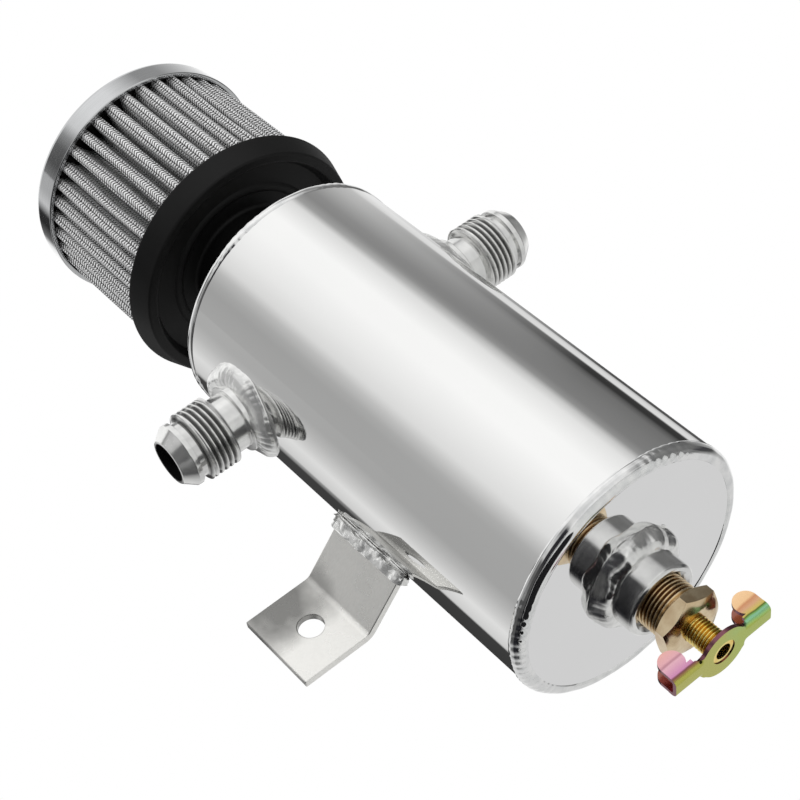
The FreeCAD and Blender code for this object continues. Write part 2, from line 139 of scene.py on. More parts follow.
def rippleBead(bm, centre, count, height, lump, lag=0.5, seed=0.0, patchy=False):
    # weld ripples like overlapped coins round the ring; centre is the (radius, height) that the section
    # turns about, and a patchy bead has been buffed smooth but for a few stretches
    bm.normal_update()
    moves = {}
    for vert in bm.verts:
        turn = math.atan2(vert.co.y, vert.co.x) / (2 * math.pi)
        tilt = math.atan2(abs(vert.co.z - centre[1]), math.hypot(*vert.co.xy) - centre[0])
        across = tilt / (math.pi / 4) - 1
        wander = noise.noise(Vector((vert.co.x, vert.co.y, seed)) * 0.11)
        phase = (turn * count + lag * across ** 2 + 0.5 * wander) % 1
        coin = 1 - (2 * phase - 1) ** 2
        swell = noise.noise(Vector((vert.co.x, vert.co.y, vert.co.z + seed)) * 0.16)
        kept = 0.8 + 0.5 * wander
        if patchy:
            kept = min(max(3 * noise.noise(Vector((vert.co.x, vert.co.y, seed)) * 0.06), 0), 1)
        moves[vert] = vert.normal * (height * coin * kept + lump * swell)
    for vert, move in moves.items():
        vert.co += move


def makeObject(bm, name):
    mesh = bpy.data.meshes.new(name)
    bm.to_mesh(mesh)
    bm.free()
    made = bpy.data.objects.new(name, mesh)
    bpy.context.collection.objects.link(made)
    return made


def takeResult(work, *others):  # the mesh that the modifiers give; the working objects go
    bm = bmesh.new()
    bm.from_mesh(work.evaluated_get(bpy.context.evaluated_depsgraph_get()).to_mesh())
    for used in (work, *others):
        bpy.data.objects.remove(used)
    return bm


def combine(bm, other, operation):  # boolean of two meshes
    work, cutter = makeObject(bm, "work"), makeObject(other, "work")
    modifier = work.modifiers.new("Combine", "BOOLEAN")
    modifier.object = cutter
    modifier.operation = operation
    return takeResult(work, cutter)


def crossRod(radius, start, end, height):  # plain cylinder along X, to cut with
    bm = bmesh.new()
    bmesh.ops.create_cone(
        bm, cap_ends=True, segments=96, radius1=radius, radius2=radius, depth=end - start,
        matrix=Matrix.Translation(((start + end) / 2, 0, height)) @ Matrix.Rotation(math.pi / 2, 4, "Y"),
    )
    return bm


def mergedCopy(nodeName, flat=0.4):  # clean copy of a CAD node's loose triangles, back in millimetres
    bm = bmesh.new()
    bm.from_mesh(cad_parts[nodeName].data)
    bm.transform(place.inverted())
    bmesh.ops.remove_doubles(bm, verts=bm.verts, dist=0.002)
    bmesh.ops.dissolve_limit(bm, angle_limit=math.radians(flat), verts=bm.verts, edges=bm.edges)
    return bm


def finishPiece(bm, name, material, nodes, body="tank", edgeAngle=35, soften=None):
    bmesh.ops.remove_doubles(bm, verts=bm.verts, dist=0.0005)
    bmesh.ops.recalc_face_normals(bm, faces=bm.faces)
    bm.transform(place)
    piece = makeObject(bm, name)
    piece.data.materials.append(material)
    piece.data.shade_smooth()
    piece.data.set_sharp_from_angle(angle=math.radians(edgeAngle))
    if soften:  # small rounding of every crisp edge, in millimetres
        rounding = piece.modifiers.new("Soft edges", "BEVEL")
        rounding.width = soften * 0.001
        rounding.segments = 3
        rounding.limit_method = "ANGLE"
        rounding.angle_limit = math.radians(30)
        rounding.harden_normals = False
    piece.modifiers.new("Weighted normals", "WEIGHTED_NORMAL").keep_sharp = True
    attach(piece, body)
    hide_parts(*nodes)
    return piece


tank = {  # this and the other sizes are in millimetres
    "radius": 40.0, "wall": 2.0, "length": 150.0, "capThickness": 3.0, "portHeight": 122.0, "portHole": 11.05,
    "portBand": 17.0, "neckHole": 16.05, "bungHole": 11.65, "steps": 256,
}
rimBead = {"leg": 3.6, "corner": 2.9, "steps": 440, "count": 88, "ripple": 0.16, "lump": 0.14}


# Materials

def polishedAluminium(name, colour, roughness, grain):
    # Buffed aluminium sheet: a mirror with a faint haze, where the mop's fine lines run round the can
    material, tree, shader, where = startMaterial(name, Metallic=1.0)
    stretched = addNode(tree, "Mapping", inputs={"Vector": where, "Scale": (60, 60, 2600)}).outputs[0]
    lines = addNode(tree, "TexNoise", inputs={"Vector": stretched, "Scale": 1.0, "Detail": 3.0}).outputs["Fac"]
    cloud = addNode(tree, "TexNoise", inputs={"Vector": where, "Scale": 45.0, "Detail": 4.0}).outputs["Fac"]
    haze = addNode(tree, "MapRange", inputs={"Value": cloud, 3: roughness * 0.75, 4: roughness * 1.35})
    tint = addNode(tree, "MapRange", {"data_type": "FLOAT_VECTOR"}, {
        "Vector": cloud, 9: linear(colour)[:3], 10: tuple(part * 0.97 for part in linear(colour)[:3]),
    })
    bump = addNode(tree, "Bump", inputs={"Height": lines, "Strength": grain, "Distance": 0.00002}).outputs[0]
    linkSurface(tree, shader, tint.outputs["Vector"], haze.outputs[0], bump)
    return material


def threadShade(tree, where, spin, middle, root, crest, low, high):
    # 1 on plain metal and 0 in the roots of a thread, where shade is painted; the thread turns round the spin
    # axis through the middle and lies between two distances from it; gives the radius too
    axis = Vector((1, 0, 0)) if spin == "X" else Vector((0, 0, 1))
    flat = Vector((1, 1, 1)) - axis
    centred = addNode(tree, "VectorMath", {"operation": "SUBTRACT"}, {0: where, 1: middle}).outputs[0]
    across = addNode(tree, "VectorMath", {"operation": "MULTIPLY"}, {0: centred, 1: flat * 1000}).outputs[0]
    radius = addNode(tree, "VectorMath", {"operation": "LENGTH"}, {0: across}).outputs["Value"]
    along = addNode(tree, "VectorMath", {"operation": "DOT_PRODUCT"}, {
        0: centred, 1: axis * 1000,
    }).outputs["Value"]
    beside = addNode(tree, "Math", {"operation": "SUBTRACT"}, {0: radius, 1: root}).outputs[0]
    off = addNode(tree, "Math", {"operation": "ABSOLUTE"}, {0: beside}).outputs[0]
    bright = addNode(tree, "MapRange", inputs={"Value": off, 1: 0.0, 2: (crest - root) * 0.8}).outputs[0]
    apart = addNode(tree, "Math", {"operation": "ABSOLUTE"}, {0: along}).outputs[0]
    within = addNode(tree, "Math", {"operation": "COMPARE"}, {
        0: apart, 1: (low + high) / 2, 2: (high - low) / 2,
    })
    outside = addNode(tree, "Math", {"operation": "SUBTRACT"}, {0: 1.0, 1: within.outputs[0]}).outputs[0]
    return addNode(tree, "Math", {"operation": "MAXIMUM"}, {0: bright, 1: outside}).outputs[0], radius


def machinedAluminium(name, spin, metallic, thread=None, bore=0.0):
    # Lathe-turned bar: bright, with close rings from the tool that soften the highlights across
    material, tree, shader, where = startMaterial(name, Metallic=metallic)
    cloud = addNode(tree, "TexNoise", inputs={"Vector": where, "Scale": 160.0, "Detail": 3.0}).outputs["Fac"]
    ramp = addNode(tree, "ValToRGB", inputs={"Fac": cloud})
    setRamp(ramp, {0.3: "#d9d9d8", 0.7: "#efefed"})
    skin = ramp.outputs[0]
    if thread:  # painted shade: darker thread roots and a darker bore
        middle = place @ Vector((0, 0, tank["portHeight"]))
        unshaded, radius = threadShade(tree, where, spin, middle, *thread)
        # painted shade in the thread roots, then near black painted shade on the bore's wall
        rootShade = addNode(tree, "MapRange", inputs={"Value": unshaded, 3: 0.12, 4: 1.0}).outputs[0]
        boreShade = addNode(tree, "MapRange", inputs={
            "Value": radius, 1: bore, 2: bore + 0.3, 3: 0.05, 4: 1.0,
        }).outputs[0]
        shade = addNode(tree, "Math", {"operation": "MULTIPLY"}, {0: rootShade, 1: boreShade}).outputs[0]
        skin = addNode(tree, "VectorMath", {"operation": "SCALE"}, {0: skin, "Scale": shade}).outputs[0]
    rings = addNode(tree, "TexWave", {"bands_direction": spin}, {  # rings 0.35 mm apart
        "Vector": where, "Scale": 1000 / 0.35 / 20, "Distortion": 0.4, "Detail": 1.0,
    }).outputs["Fac"]
    bump = addNode(tree, "Bump", inputs={"Height": rings, "Strength": 0.12, "Distance": 0.00002}).outputs[0]
    rough = addNode(tree, "MapRange", inputs={"Value": cloud, 3: 0.12, 4: 0.22}).outputs[0]
    linkSurface(tree, shader, skin, rough, bump)
    return material


def weldBead(name, dark, light, low, high, grain, metallic=1.0):
    # TIG bead in aluminium: silvery skin, smooth but uneven, duller in patches
    material, tree, shader, where = startMaterial(name, Metallic=metallic)
    cloud = addNode(tree, "TexNoise", inputs={"Vector": where, "Scale": 320.0, "Detail": 5.0}).outputs["Fac"]
    ramp = addNode(tree, "ValToRGB", inputs={"Fac": cloud})
    setRamp(ramp, {0.32: dark, 0.62: light})
    rough = addNode(tree, "MapRange", inputs={"Value": cloud, 3: high, 4: low}).outputs[0]
    bump = addNode(tree, "Bump", inputs={"Height": cloud, "Strength": grain, "Distance": 0.0002}).outputs[0]
    linkSurface(tree, shader, ramp.outputs[0], rough, bump)
    return material


def brushedStrip():
    # Linished aluminium flat bar: a soft wide gloss over a fine grain, with a painted dark reflection along
    # one edge of the foot
    material, tree, shader, where = startMaterial("LinishedAluminiumStrip", Metallic=0.86)
    stretched = addNode(tree, "Mapping", inputs={"Vector": where, "Scale": (900, 900, 5200)}).outputs[0]
    lines = addNode(tree, "TexNoise", inputs={"Vector": stretched, "Scale": 1.0, "Detail": 4.0}).outputs["Fac"]
    ramp = addNode(tree, "ValToRGB", inputs={"Fac": lines})
    setRamp(ramp, {0.3: "#efeeea", 0.7: "#f8f7f3"})
    low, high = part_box("mount_bracket")
    # painted dark reflection: darker near one point on the foot's edge, inside a ragged border
    edge = Vector((low[0] + 0.011, high[1] - 0.003, high[2]))
    cloud = addNode(tree, "TexNoise", inputs={"Vector": where, "Scale": 60.0, "Detail": 3.0}).outputs["Fac"]
    away = addNode(tree, "VectorMath", {"operation": "DISTANCE"}, {0: where, 1: edge}).outputs["Value"]
    ragged = addNode(tree, "Math", {"operation": "MULTIPLY_ADD"}, {0: cloud, 1: 0.026, 2: away}).outputs[0]
    edgeShade = addNode(tree, "MapRange", inputs={"Value": ragged, 1: 0.02, 2: 0.034, 3: 0.28, 4: 1.0}).outputs[0]
    smear = addNode(tree, "TexNoise", inputs={"Vector": where, "Scale": 90.0, "Detail": 3.0}).outputs["Fac"]
    mottle = addNode(tree, "MapRange", inputs={"Value": smear, 1: 0.36, 2: 0.6, 3: 0.92, 4: 1.0}).outputs[0]
    shade = addNode(tree, "Math", {"operation": "MULTIPLY"}, {0: edgeShade, 1: mottle}).outputs[0]
    skin = addNode(tree, "VectorMath", {"operation": "SCALE"}, {0: ramp.outputs[0], "Scale": shade}).outputs[0]
    rough = addNode(tree, "MapRange", inputs={"Value": smear, 1: 0.35, 2: 0.65, 3: 0.22, 4: 0.34}).outputs[0]
    bump = addNode(tree, "Bump", inputs={"Height": lines, "Strength": 0.1, "Distance": 0.00002}).outputs[0]
    linkSurface(tree, shader, skin, rough, bump)
    return material


def brass(name, dark, light, low, high, thread, rootShadeColour):
    # Machined brass: warm yellow metal, tarnished in patches, with painted shade darkening the thread's roots
    # brown
    material, tree, shader, where = startMaterial(name, Metallic=1.0)
    cloud = addNode(tree, "TexNoise", inputs={"Vector": where, "Scale": 240.0, "Detail": 4.0}).outputs["Fac"]
    ramp = addNode(tree, "ValToRGB", inputs={"Fac": cloud})
    setRamp(ramp, {0.3: dark, 0.65: light})
    unshaded, _ = threadShade(tree, where, "Z", place.translation, *thread)
    # painted shade: the thread roots take the darker colour
    skin = addNode(tree, "Mix", {"data_type": "RGBA"}, {0: unshaded, 6: linear(rootShadeColour), 7: ramp.outputs[0]})
    rough = addNode(tree, "MapRange", inputs={"Value": cloud, 3: low, 4: high}).outputs[0]
    bump = addNode(tree, "Bump", inputs={"Height": cloud, "Strength": 0.12, "Distance": 0.00005}).outputs[0]
    linkSurface(tree, shader, skin.outputs[2], rough, bump)
    return material


def yellowZinc():
    # Zinc plate with a yellow chromate film: olive on the flat, pink on one pair of ears and peach over
    # green on the other, with painted shade making the inside of the far ones red-brown and the sheared sides
    # darker
    material, tree, shader, where = startMaterial("YellowZincPlate", Metallic=1.0)
    parts = addNode(tree, "SeparateXYZ", inputs={"Vector": where})
    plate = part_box("drain_wing")[0][2]
    rise = addNode(tree, "MapRange", inputs={
        "Value": parts.outputs["Z"], 1: plate, 2: plate + 0.009,
    }).outputs[0]
    drift = addNode(tree, "TexNoise", inputs={"Vector": where, "Scale": 130.0, "Detail": 2.0}).outputs["Fac"]
    sway = addNode(tree, "Math", {"operation": "MULTIPLY_ADD"}, {0: drift, 1: 0.14, 2: -0.07}).outputs[0]
    level = addNode(tree, "Math", {"operation": "ADD"}, {0: rise, 1: sway}).outputs[0]
    nearEar = addNode(tree, "ValToRGB", inputs={"Fac": level})
    setRamp(nearEar, {
        0.0: "#c0c062", 0.07: "#bcb85c", 0.12: "#9c7a50", 0.18: "#84525a", 0.23: "#d090b8", 0.4: "#dca4bc",
        0.56: "#e6b4c0", 0.62: "#c08c98", 0.7: "#e6b0b6", 1.0: "#ecb4ac",
    })
    farEar = addNode(tree, "ValToRGB", inputs={"Fac": level})
    setRamp(farEar, {
        0.0: "#b6c460", 0.04: "#a6cc7a", 0.09: "#94cc96", 0.15: "#90c8a2", 0.19: "#7cac5c", 0.23: "#4e6430",
        0.28: "#d0bc68", 0.45: "#d8a884", 0.58: "#d0946c", 0.66: "#f2c898", 1.0: "#fad2a4",
    })
    end = addNode(tree, "MapRange", inputs={"Value": parts.outputs["X"], 1: axisX - 0.002, 2: axisX + 0.006})
    film = addNode(tree, "Mix", {"data_type": "RGBA"}, {
        0: end.outputs[0], 6: nearEar.outputs[0], 7: farEar.outputs[0],
    })
    # painted shade: the far ears' inner faces, above the fold, go red-brown
    far = addNode(tree, "MapRange", inputs={"Value": parts.outputs["Y"], 1: axisY + 0.0012, 2: axisY + 0.0022})
    risen = addNode(tree, "MapRange", inputs={"Value": level, 1: 0.2, 2: 0.3}).outputs[0]
    farEarShade = addNode(tree, "Math", {"operation": "MULTIPLY"}, {0: far.outputs[0], 1: risen}).outputs[0]
    skin = addNode(tree, "Mix", {"data_type": "RGBA"}, {0: farEarShade, 6: film.outputs[2], 7: linear("#9a6458")})
    # painted shade: the sheet's cut sides are darker
    sheared = addNode(tree, "Attribute", {"attribute_name": "sheared"}).outputs["Fac"]
    sides = addNode(tree, "Mix", {"data_type": "RGBA"}, {0: sheared, 6: skin.outputs[2], 7: linear("#845660")})
    drawn = addNode(tree, "Mapping", inputs={"Vector": where, "Scale": (1100, 1100, 130)}).outputs[0]
    speck = addNode(tree, "TexNoise", inputs={"Vector": drawn, "Scale": 1.0, "Detail": 3.0}).outputs["Fac"]
    rough = addNode(tree, "MapRange", inputs={"Value": speck, 3: 0.1, 4: 0.26}).outputs[0]
    bump = addNode(tree, "Bump", inputs={"Height": speck, "Strength": 0.22, "Distance": 0.00006}).outputs[0]
    linkSurface(tree, shader, sides.outputs[2], rough, bump)
    return material


def mouldedRubber(name, dark, light, low, high):
    # Moulded nitrile rubber: near black, with a soft broken sheen and a fine skin
    material, tree, shader, where = startMaterial(name, IOR=1.52, Specular_IOR_Level=0.24)
    cloud = addNode(tree, "TexNoise", inputs={"Vector": where, "Scale": 70.0, "Detail": 5.0}).outputs["Fac"]
    ramp = addNode(tree, "ValToRGB", inputs={"Fac": cloud})
    setRamp(ramp, {0.3: dark, 0.7: light})
    skin = addNode(tree, "TexNoise", inputs={"Vector": where, "Scale": 2400.0, "Detail": 2.0}).outputs["Fac"]
    rough = addNode(tree, "MapRange", inputs={"Value": cloud, 3: low, 4: high}).outputs[0]
    bump = addNode(tree, "Bump", inputs={"Height": skin, "Strength": 0.2, "Distance": 0.00006}).outputs[0]
    linkSurface(tree, shader, ramp.outputs[0], rough, bump)
    return material


def wireGauze():
    # Knitted wire and cotton gauze: columns of small V stitches, pale on their crowns, with painted shade in
    # the hollows between them
    material, tree, shader, where = startMaterial("KnittedGauze", Metallic=0.35)
    parts = addNode(tree, "SeparateXYZ", inputs={"Vector": addNode(tree, "UVMap").outputs["UV"]})
    lane = addNode(tree, "Math", {"operation": "FRACT"}, {0: parts.outputs[0]}).outputs[0]
    centred = addNode(tree, "Math", {"operation": "SUBTRACT"}, {0: lane, 1: 0.5}).outputs[0]
    side = addNode(tree, "Math", {"operation": "ABSOLUTE"}, {0: centred}).outputs[0]
    pull = addNode(tree, "TexNoise", inputs={"Vector": where, "Scale": 420.0, "Detail": 2.0}).outputs["Fac"]
    row = addNode(tree, "Math", {"operation": "MULTIPLY_ADD"}, {
        0: pull, 1: 0.9, 2: parts.outputs[1],
    }).outputs[0]
    slant = addNode(tree, "Math", {"operation": "MULTIPLY_ADD"}, {0: side, 1: 1.3, 2: row}).outputs[0]
    wave = addNode(tree, "Math", {"operation": "SINE"}, {
        0: addNode(tree, "Math", {"operation": "MULTIPLY"}, {0: slant, 1: math.pi}).outputs[0],
    }).outputs[0]
    strand = addNode(tree, "Math", {"operation": "ABSOLUTE"}, {0: wave}).outputs[0]
    edge = addNode(tree, "MapRange", {"interpolation_type": "SMOOTHSTEP"}, {
        "Value": side, 1: 0.5, 2: 0.34, 3: 0.45, 4: 1.0,
    }).outputs[0]
    height = addNode(tree, "Math", {"operation": "MULTIPLY"}, {0: strand, 1: edge}).outputs[0]
    # painted shade: the lower the stitch surface, the darker it is
    ramp = addNode(tree, "ValToRGB", inputs={"Fac": height})
    setRamp(ramp, {0.16: "#1e1e1e", 0.5: "#868686", 0.86: "#eeeeee"})
    rough = addNode(tree, "MapRange", inputs={"Value": height, 3: 0.7, 4: 0.45}).outputs[0]
    bump = addNode(tree, "Bump", inputs={"Height": height, "Strength": 0.7, "Distance": 0.0003}).outputs[0]
    linkSurface(tree, shader, ramp.outputs[0], rough, bump)
    return material


def satinChrome():
    # Chromed pressing: cool bright metal, very slightly brushed round its rim
    material, tree, shader, where = startMaterial("SatinChromePlate", Metallic=1.0)
    stretched = addNode(tree, "Mapping", inputs={"Vector": where, "Scale": (90, 90, 3000)}).outputs[0]
    lines = addNode(tree, "TexNoise", inputs={"Vector": stretched, "Scale": 1.0, "Detail": 3.0}).outputs["Fac"]
    ramp = addNode(tree, "ValToRGB", inputs={"Fac": lines})
    setRamp(ramp, {0.3: "#c3c4c5", 0.7: "#cbcccd"})
    rough = addNode(tree, "MapRange", inputs={"Value": lines, 3: 0.06, 4: 0.1}).outputs[0]
    bump = addNode(tree, "Bump", inputs={"Height": lines, "Strength": 0.01, "Distance": 0.00001}).outputs[0]
    linkSurface(tree, shader, ramp.outputs[0], rough, bump)
    return material


tankMetal = polishedAluminium("PolishedAluminiumTube", "#f0f0ef", 0.035, 0.12)
capMetal = polishedAluminium("PolishedAluminiumDisc", "#f0f0f0", 0.03, 0.05)
baffleMetal = polishedAluminium("MillAluminiumSheet", "#c9cacb", 0.38, 0.5)
clampMetal = polishedAluminium("StainlessClampSteel", "#c3c3c0", 0.24, 0.4)
fittingMetal = machinedAluminium("MachinedAluminiumPort", "X", 0.86, (9.95, 11.1, 48.8, 59.4), 6.5)
bungMetal = machinedAluminium("MachinedAluminiumBung", "Z", 1.0)
stripMetal = brushedStrip()
rimBeadMetal = weldBead("BuffedWeldBead", "#dcdddd", "#efefee", 0.05, 0.1, 0.06)
beadMetal = weldBead("RippledWeldBead", "#d2d2d1", "#ececea", 0.15, 0.24, 0.1)
paleBeadMetal = weldBead("PaleWeldBead", "#dededd", "#f2f2f0", 0.18, 0.28, 0.1, 0.74)
cockBrass = brass("MachinedBrass", "#cdb38e", "#ead6b2", 0.13, 0.24, (7.3, 8.1, 2.7, 17.7), "#5a381f")
stemBrass = brass("DrawnBrassRod", "#f6c64c", "#fff09c", 0.12, 0.22, (3.5, 4.0, 12.0, 33.0), "#b8842a")
wingZinc = yellowZinc()
baseRubber = mouldedRubber("MouldedNitrileRubber", "#080808", "#0f0f0f", 0.46, 0.6)
sealRubber = mouldedRubber("SealRubber", "#141414", "#1d1d1d", 0.45, 0.6)
potResin = mouldedRubber("CastResin", "#0c0b0b", "#171615", 0.3, 0.45)
gauze = wireGauze()
capChrome = satinChrome()
print("materials made")


# Tank

def makeTankTube():
    outer, leg, middle = tank["radius"], rimBead["leg"], tank["portHeight"]
    bore = outer - tank["wall"]
    bm = lathe([
        (bore, leg / 2), (outer, leg), (outer, middle - tank["portBand"]), (outer, middle + tank["portBand"]),
        (outer, tank["length"] - leg), (bore, tank["length"] - leg / 2),
    ], steps=tank["steps"])
    bm = combine(bm, crossRod(tank["portHole"], -60, 60, middle), "DIFFERENCE")
    finishPiece(bm, "tankTube", tankMetal, ["tank_tube"])


def flipToTop(bm):  # a piece made at the tank's lower end goes to its upper one
    bmesh.ops.scale(bm, vec=(1, 1, -1), verts=bm.verts)
    bmesh.ops.translate(bm, vec=(0, 0, tank["length"]), verts=bm.verts)


def makeEndCap(name, node, hole, upper):
    edge = tank["radius"] - tank["wall"] - 0.05
    start = tank["radius"] - rimBead["leg"]
    bm = lathe([
        (hole, 0), (start - 0.4, 0), (start, 0), (edge, rimBead["leg"] / 2 * 0.98),
        (edge, tank["capThickness"]), (hole, tank["capThickness"]),
    ], steps=tank["steps"])
    if upper:
        flipToTop(bm)
    finishPiece(bm, name, capMetal, [node])


def makeRimBead(name, node, upper, seed):
    radius, leg = tank["radius"], rimBead["leg"]
    bm = lathe([
        (radius - leg, 0.02), (radius - leg + 0.5, -0.36), (radius + 0.36, -0.36),
        (radius + 0.3, leg - 0.5), (radius, leg), (radius - 1.9, leg / 2),
    ], steps=rimBead["steps"], rounds=[(1, 0.35, 2), (2, rimBead["corner"], 10), (3, 0.3, 2)])
    rippleBead(
        bm, (radius - leg, leg), rimBead["count"], rimBead["ripple"], rimBead["lump"], seed=seed, patchy=True,
    )
    if upper:
        flipToTop(bm)
    finishPiece(bm, name, rimBeadMetal, [node], edgeAngle=60)


makeTankTube()
makeEndCap("bottomCap", "bottom_cap", tank["bungHole"], False)
makeEndCap("topCap", "top_cap", tank["neckHole"], True)
makeRimBead("bottomRimBead", "bottom_rim_weld", False, 374.0)
makeRimBead("topRimBead", "top_rim_weld", True, 8.0)
print("tank made")


# Hose ports

port = {
    "bore": 6.35, "root": 36.0, "base": 11.0, "baseEnd": 43.4, "neck": 9.1, "threadStart": 48.6,
    "thread": 11.1, "threadRoot": 9.95, "threadEnd": 59.4, "pitch": 1.814, "shoulder": 10.2,
    "shoulderStart": 61.4, "coneStart": 63.0, "tip": 7.25, "tipHeight": 66.9,
}
portBead = {"outer": 16.0, "top": 2.95, "count": 42, "ripple": 0.12, "lump": 0.5}


def makePortFitting(name, node, side):
    plain = port["threadEnd"] - (port["thread"] - port["neck"]) / 2
    bm = lathe([
        (port["bore"], port["root"]), (port["base"], port["root"]), (port["base"], port["baseEnd"]),
        (port["neck"], port["baseEnd"]), (port["neck"], port["threadStart"]),
        (port["thread"] - 0.7, port["threadStart"]), (port["thread"], port["threadStart"] + 0.4),
        (port["thread"], plain), (port["neck"], port["threadEnd"]), (port["neck"], port["shoulderStart"]),
        (port["shoulder"], port["shoulderStart"]), (port["shoulder"], port["coneStart"]),
        (port["tip"], port["tipHeight"]), (port["bore"], port["tipHeight"]),
    ], steps=120, cuts=[(6, 90)], rounds=[
        (2, 0.3, 2), (3, 0.25, 2), (10, 0.15, 2), (11, 0.15, 2), (12, 0.2, 2),
    ])
    cutThread(bm, port["thread"], port["threadRoot"], port["threadStart"] + 0.4, plain, port["pitch"])
    bmesh.ops.rotate(bm, cent=(0, 0, 0), matrix=Matrix.Rotation(side * math.pi / 2, 3, "Y"), verts=bm.verts)
    bmesh.ops.translate(bm, vec=(0, 0, tank["portHeight"]), verts=bm.verts)
    finishPiece(bm, name, fittingMetal, [node], edgeAngle=40)


def makePortBead(name, node, side):
    outer, top, base = portBead["outer"], portBead["top"], port["base"]
    bm = lathe([
        (base - 0.1, -2.5), (outer, -2.5), (outer, 0.0), (outer - 0.5, 1.1), (outer - 1.6, 2.2),
        (outer - 3.1, 2.85), (base - 0.1, top),
    ], steps=396, cuts=[(2, 2), (3, 2), (4, 2), (5, 3)])
    rippleBead(bm, (base, 0), portBead["count"], portBead["ripple"], portBead["lump"], seed=side * 5.0)
    bmesh.ops.rotate(bm, cent=(0, 0, 0), matrix=Matrix.Rotation(side * math.pi / 2, 3, "Y"), verts=bm.verts)
    for vert in bm.verts:  # wraps the flat ring on to the round tank
        vert.co.x += side * math.sqrt(tank["radius"] ** 2 - vert.co.y ** 2)
    bmesh.ops.translate(bm, vec=(0, 0, tank["portHeight"]), verts=bm.verts)
    finishPiece(bm, name, paleBeadMetal, [node], edgeAngle=60)


for side, word in ((-1, "Left"), (1, "Right")):
    makePortFitting("portFitting" + word, "port_fitting_" + word.lower(), side)
    makePortBead("portBead" + word, "port_weld_" + word.lower(), side)
print("ports made")


# Drain

bung = {"radius": 11.6, "bore": 8.15, "mouth": -12.3, "chamfer": 0.8, "countersink": 1.7}
bungBead = {"outer": 15.8, "top": 5.1, "count": 46, "ripple": 0.045, "lump": 1.05}
cock = {
    "shank": 8.1, "shankRoot": 7.3, "pitch": 1.2, "top": -2.7, "hexBack": -17.7, "hexFace": -24.1,
    "acrossFlats": 18.6, "turn": 22.5, "chamfer": 1.9, "bore": 4.05, "seat": -5.2, "inlet": 2.0,
}
stem = {"radius": 4.0, "root": 3.5, "pitch": 1.0, "bore": 2.5, "back": -33.0, "end": -33.9, "spigot": 3.8,
        "threadTop": -12.0, "noseRadius": 3.2, "nose": -6.8, "tip": 1.2}


def makeBung():
    inner, outer, mouth, sink = bung["bore"], bung["radius"], bung["mouth"], bung["countersink"]
    bm = lathe([
        (inner, tank["capThickness"]), (outer, tank["capThickness"]), (outer, mouth + bung["chamfer"]),
        (outer - bung["chamfer"], mouth), (inner + sink, mouth), (inner, mouth + sink),
    ], rounds=[(2, 0.25, 2), (3, 0.25, 2), (4, 0.2, 2)])
    finishPiece(bm, "drainBung", bungMetal, ["drain_bung"])


def makeBungBead():
    outer, top, inner = bungBead["outer"], bungBead["top"], bung["radius"]
    bm = lathe([
        (inner - 0.1, 0.3), (outer, 0.3), (outer, -0.2), (outer - 0.4, -2.0), (outer - 1.5, -3.8),
        (outer - 2.9, -4.8), (inner - 0.1, -top),
    ], steps=324, rounds=[(2, 0.6, 2), (3, 0.8, 3), (4, 0.7, 3), (5, 0.5, 2)])
    rippleBead(bm, (inner, 0), bungBead["count"], bungBead["ripple"], bungBead["lump"], seed=2.0)
    for vert in bm.verts:
        vert.co.z = min(vert.co.z, 0.3)
    finishPiece(bm, "drainBungBead", beadMetal, ["drain_bung_weld"], edgeAngle=60)


def makeCock():
    corner = cock["acrossFlats"] / 2 / math.cos(math.radians(30))
    low, high, cut = cock["hexFace"], cock["hexBack"], cock["chamfer"]
    face = corner - cut / math.tan(math.radians(30))
    turned = Matrix.Rotation(math.radians(cock["turn"] - 90), 4, "Z")
    hexagon = bmesh.new()
    bmesh.ops.create_cone(
        hexagon, cap_ends=True, segments=6, radius1=corner, radius2=corner, depth=high - low,
        matrix=Matrix.Translation((0, 0, (low + high) / 2)) @ turned,
    )
    crown = lathe([
        (cock["bore"], low), (face, low), (corner + 0.01, low + cut), (corner + 0.01, high - cut),
        (face, high), (cock["bore"], high),
    ])
    hexagon = combine(hexagon, crown, "INTERSECT")
    crest, bore, top, seat = cock["shank"], cock["bore"], cock["top"], cock["seat"]
    shank = lathe([
        (bore, high - 1), (crest - 0.5, high - 1), (crest - 0.5, high), (crest, high + 0.4),
        (crest, top), (cock["inlet"], top), (cock["inlet"], seat), (bore, seat),
    ], cuts=[(3, 150)])
    cutThread(shank, crest, cock["shankRoot"], high + 0.4, top, cock["pitch"])
    bm = combine(hexagon, shank, "UNION")
    finishPiece(bm, "drainCock", cockBrass, ["drain_cock_body"], edgeAngle=38, soften=0.12)


def makeStem():
    crest, nose, start, back = stem["radius"], stem["nose"], stem["threadTop"], stem["back"]
    bm = lathe([
        (stem["bore"], stem["end"]), (stem["spigot"], stem["end"]), (stem["spigot"], back), (crest, back),
        (crest, start), (stem["noseRadius"], start), (stem["noseRadius"], nose), (stem["tip"], nose),
        (stem["tip"], nose + 0.8), (0, nose + 0.8), (0, nose - 1.4), (stem["bore"], nose - 1.4),
    ], steps=72, cuts=[(3, 250)])
    cutThread(bm, crest, stem["root"], back, start, stem["pitch"])
    finishPiece(bm, "drainStem", stemBrass, ["drain_stem"], body="stem", edgeAngle=40)


wing = {
    "hub": 8.0, "hole": 3.85, "arm": 3.4, "halfSpan": 17.1, "sheet": 1.2, "waist": 4.5, "fold": 1.8,
    "face": -34.2, "earRadius": 3.65, "earMiddle": 13.4, "earHeight": 9.0, "footStart": 9.3,
    "footHeight": 2.8, "foldStart": 7.2, "foldEnd": 9.2, "foldRows": 6, "foldColumns": 8,
}


